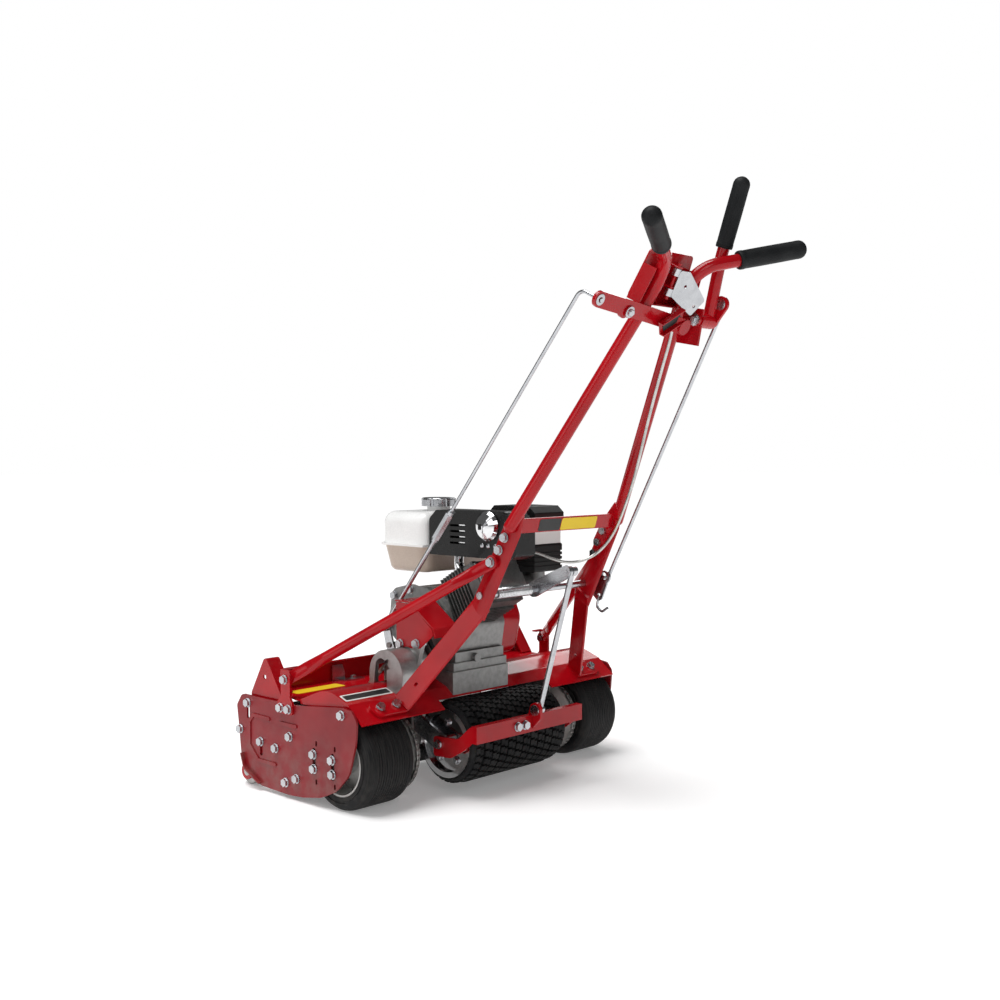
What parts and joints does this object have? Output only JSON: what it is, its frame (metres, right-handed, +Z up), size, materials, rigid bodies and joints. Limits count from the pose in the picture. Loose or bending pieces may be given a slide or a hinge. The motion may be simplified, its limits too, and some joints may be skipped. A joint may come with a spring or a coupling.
{
  "type": "reel mower",
  "caption": "Walk-behind powered reel mower: cutting cylinder with bedknife under a sheet deck, wide side tyres, lowerable centre tyre, engine on top and a handle with control levers.",
  "frame": {"origin": "on the ground, midway across the width and midway along the length of the whole machine", "axes": "+Z up, +Y towards the cutting reel and front roller (forwards), +X to the operator's right"},
  "size_m": [0.7018, 0.8538, 1.0605],
  "materials": {
    "red_paint": "gloss enamel",
    "red_paint_plates": "gloss enamel, dusty",
    "black_paint": "satin black",
    "handle_paint": "gloss enamel",
    "cast_aluminium": "as cast",
    "case_iron": "as cast",
    "zinc_steel": "zinc plated",
    "bare_steel": "bare, oiled",
    "spring_steel": "spring wire",
    "wheel_rim": "pale paint",
    "tyre_rubber": "rubber",
    "grip_rubber": "matt",
    "belt_rubber": "matt",
    "cable_sheath": "black sheath",
    "chrome": "plated",
    "tank_paint": "cream enamel",
    "black_plastic": "moulded"
  },
  "bodies": {
    "chassis": {"deck": "red_paint", "front_guard": "red_paint", "side_plate_left": "red_paint_plates", "side_plate_right": "red_paint_plates", "catcher_hooks": "red_paint", "strut_brackets": "red_paint", "handle_feet": "red_paint", "handle_tubes": "handle_paint", "handle_grips": "grip_rubber", "struts": "red_paint", "crossbar": "handle_paint", "handle_head": "handle_paint", "bedknife": "case_iron", "roller_brackets": "red_paint", "axle_bearings": "case_iron", "engine_bed": "cast_aluminium", "chain_case": "case_iron", "belt_guard": "red_paint", "crankcase": "cast_aluminium", "side_cover": "cast_aluminium", "cylinder": "cast_aluminium", "head_cover": "cast_aluminium", "muffler": "chrome", "muffler_guard": "black_paint", "fuel_tank": "tank_paint", "air_cleaner_base": "black_plastic", "air_cleaner_cover": "black_plastic", "carburettor": "cast_aluminium", "fan_cover": "red_paint", "bolts": "zinc_steel", "throttle_cable": "cable_sheath", "chains": "bare_steel", "drive_belt": "belt_rubber", "torsion_spring": "spring_steel"},
    "wheel_left": {"tyre_left": "tyre_rubber", "wheel_hub_left": "wheel_rim"},
    "wheel_right": {"tyre_right": "tyre_rubber", "wheel_hub_right": "wheel_rim"},
    "countershaft": {"counter_shaft": "bare_steel"},
    "output": {"output_shaft": "bare_steel"},
    "engine_crank": {"engine_pulley": "bare_steel"},
    "reel": {"reel": "bare_steel"},
    "roller": {"front_roller": "bare_steel"},
    "swing_frame": {"swing_arms": "zinc_steel", "yoke": "red_paint", "yoke_bolts": "zinc_steel"},
    "centre_wheel": {"centre_tyre": "tyre_rubber", "centre_hub": "wheel_rim"},
    "cross_shaft": {"cross_shaft": "zinc_steel"},
    "lift_rod": {"lift_rod": "zinc_steel"},
    "drive_lever": {"drive_lever": "red_paint", "lever_grip": "grip_rubber"},
    "drive_rod": {"drive_rod": "zinc_steel"},
    "reel_lever": {"reel_lever": "red_paint"},
    "clutch_arm": {"clutch_arm": "zinc_steel"},
    "reel_rod": {"reel_rod": "zinc_steel"},
    "idler": {"idler_pulley": "bare_steel"},
    "throttle_lever": {"throttle_lever": "zinc_steel"},
    "fuel_cap": {"fuel_cap": "black_plastic"},
    "recoil_handle": {"recoil_handle": "black_plastic"}
  },
  "joints": [
    {"name": "wheel_left_spin", "type": "hinge", "parent": "chassis", "child": "wheel_left", "pos_m": [0, 0.14592, 0.084], "axis": [1, 0, 0], "continuous": true},
    {"name": "wheel_right_spin", "type": "hinge", "parent": "chassis", "child": "wheel_right", "pos_m": [0, 0.14592, 0.084], "axis": [1, 0, 0], "continuous": true},
    {"name": "countershaft_spin", "type": "hinge", "parent": "chassis", "child": "countershaft", "pos_m": [0, 0.23392, 0.156], "axis": [1, 0, 0], "continuous": true},
    {"name": "output_shaft_spin", "type": "hinge", "parent": "chassis", "child": "output", "pos_m": [0, 0.14092, 0.238], "axis": [1, 0, 0], "continuous": true},
    {"name": "reel_spin", "type": "hinge", "parent": "chassis", "child": "reel", "pos_m": [0, 0.31092, 0.098], "axis": [1, 0, 0], "continuous": true},
    {"name": "engine_pulley_spin", "type": "hinge", "parent": "chassis", "child": "engine_crank", "pos_m": [0, 0.19092, 0.3], "axis": [1, 0, 0], "continuous": true},
    {"name": "front_roller_spin", "type": "hinge", "parent": "chassis", "child": "roller", "pos_m": [0, 0.40192, 0.025], "axis": [1, 0, 0], "continuous": true},
    {"name": "drive_lever_swing", "type": "hinge", "parent": "chassis", "child": "drive_lever", "pos_m": [0.11, -0.29708, 0.829], "axis": [1, 0, 0], "range_deg": [-62.24, 0]},
    {"name": "centre_frame_swing", "type": "hinge", "parent": "chassis", "child": "swing_frame", "pos_m": [0, 0.23392, 0.156], "axis": [1, 0, 0], "range_deg": [0, 6.95]},
    {"name": "centre_wheel_spin", "type": "hinge", "parent": "swing_frame", "child": "centre_wheel", "pos_m": [0, 0.09192, 0.092], "axis": [1, 0, 0], "continuous": true},
    {"name": "cross_shaft_turn", "type": "hinge", "parent": "chassis", "child": "cross_shaft", "pos_m": [0, -0.00808, 0.364], "axis": [1, 0, 0], "range_deg": [0, 22.68]},
    {"name": "lift_rod_swing", "type": "hinge", "parent": "cross_shaft", "child": "lift_rod", "pos_m": [0, -0.08608, 0.401], "axis": [1, 0, 0], "range_deg": [-20.14, 0]},
    {"name": "drive_rod_swing", "type": "hinge", "parent": "drive_lever", "child": "drive_rod", "pos_m": [0.128, -0.31808, 0.856], "axis": [1, 0, 0], "range_deg": [0, 57.92]},
    {"name": "reel_lever_turn", "type": "hinge", "parent": "chassis", "child": "reel_lever", "pos_m": [-0.1016, -0.29018, 0.8295], "axis": [0, -0.8936, -0.4488], "range_deg": [0, 6.35]},
    {"name": "clutch_arm_swing", "type": "hinge", "parent": "chassis", "child": "clutch_arm", "pos_m": [-0.147, 0.21792, 0.256], "axis": [1, 0, 0], "range_deg": [-15.65, 0]},
    {"name": "reel_rod_swing", "type": "hinge", "parent": "clutch_arm", "child": "reel_rod", "pos_m": [-0.154, 0.22692, 0.288], "axis": [1, 0, 0], "range_deg": [0, 16.11]},
    {"name": "idler_spin", "type": "hinge", "parent": "clutch_arm", "child": "idler", "pos_m": [0, 0.20092, 0.231], "axis": [1, 0, 0], "continuous": true},
    {"name": "throttle_lever_turn", "type": "hinge", "parent": "chassis", "child": "throttle_lever", "pos_m": [-0.008, -0.29575, 0.85612], "axis": [0, -0.4488, 0.8936], "range_deg": [-18, 0]},
    {"name": "fuel_cap_twist", "type": "hinge", "parent": "chassis", "child": "fuel_cap", "pos_m": [-0.011, 0.23092, 0.5], "axis": [0, 0, 1], "range_deg": [0, 90]},
    {"name": "recoil_handle_pull", "type": "slide", "parent": "chassis", "child": "recoil_handle", "axis": [0, 0.8423, 0.5391], "range_m": [0, 0.15]}
  ],
  "couplings": [
    {"joint": "wheel_right_spin", "follows": "wheel_left_spin", "ratio": 1},
    {"joint": "countershaft_spin", "follows": "wheel_left_spin", "ratio": 4.4},
    {"joint": "output_shaft_spin", "follows": "wheel_left_spin", "ratio": 4.125},
    {"joint": "reel_spin", "follows": "wheel_left_spin", "ratio": 2.2},
    {"joint": "centre_frame_swing", "follows": "drive_lever_swing", "ratio": -0.11089},
    {"joint": "cross_shaft_turn", "follows": "drive_lever_swing", "ratio": -0.36357},
    {"joint": "lift_rod_swing", "follows": "drive_lever_swing", "ratio": 0.32285},
    {"joint": "drive_rod_swing", "follows": "drive_lever_swing", "ratio": -0.92984},
    {"joint": "clutch_arm_swing", "follows": "reel_lever_turn", "ratio": -2.4567},
    {"joint": "reel_rod_swing", "follows": "reel_lever_turn", "ratio": 2.5291}
  ]
}
